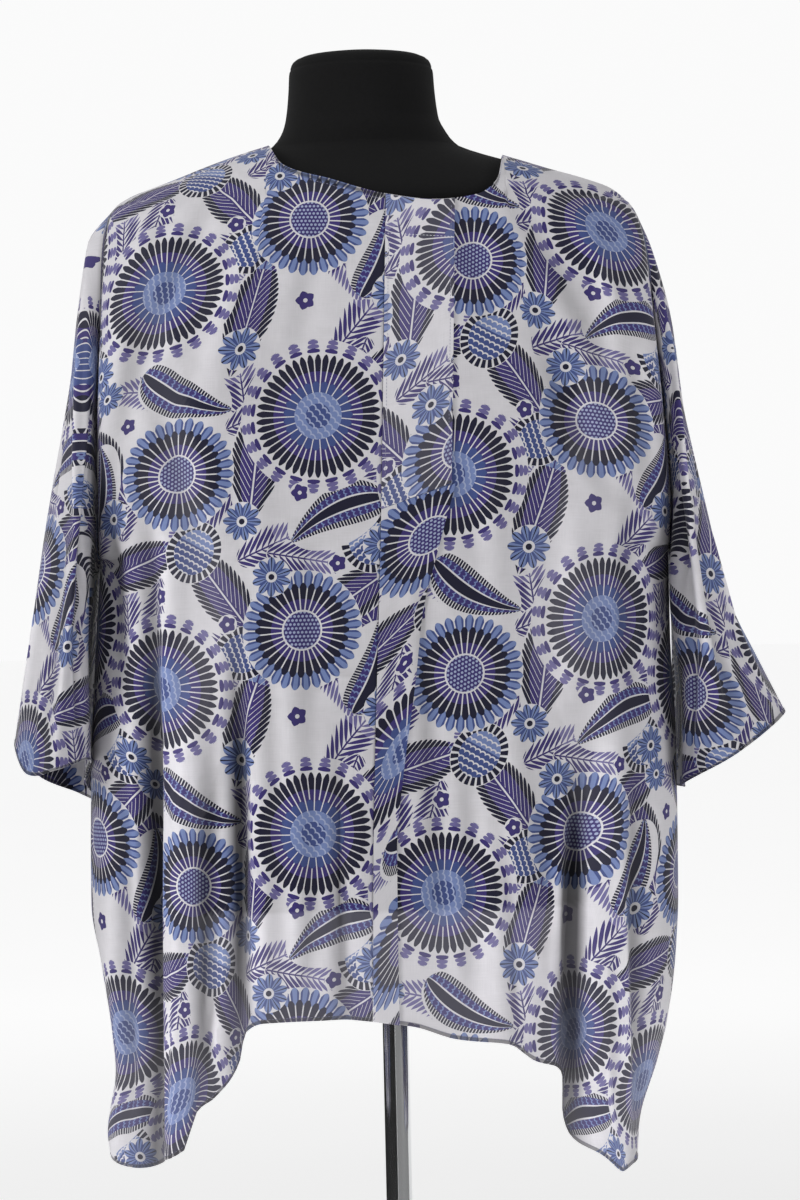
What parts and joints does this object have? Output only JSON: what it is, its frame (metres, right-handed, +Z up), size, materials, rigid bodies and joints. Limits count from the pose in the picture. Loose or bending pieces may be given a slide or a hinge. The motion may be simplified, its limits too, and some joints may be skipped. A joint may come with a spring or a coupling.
{
  "type": "blouse on a dress form",
  "caption": "Loose collarless blouse with wide elbow sleeves, a front band and a pointed hem, hanging closed in front on a limbless dress form with a pole and round base.",
  "frame": {"origin": "centre of the base's underside, on the floor", "axes": "+Z up along the pole, front of the blouse towards -Y, +X towards the wearer's left"},
  "size_m": [0.655, 0.31, 1.397],
  "materials": {
    "cloth": "light printed silk crepe, matt with a soft sheen, half sheer",
    "form_cover": "black stretch jersey, matt",
    "chrome": "polished tube",
    "base_steel": "satin steel disc"
  },
  "bodies": {
    "root": {"front_right": "cloth", "front_left": "cloth", "back": "cloth", "sleeve_right": "cloth", "sleeve_left": "cloth", "band": "cloth", "pleat": "cloth", "dress_form": "form_cover", "pole": "chrome", "pole_collar": "chrome", "pole_flange": "chrome", "base": "base_steel"}
  },
  "joints": []
}
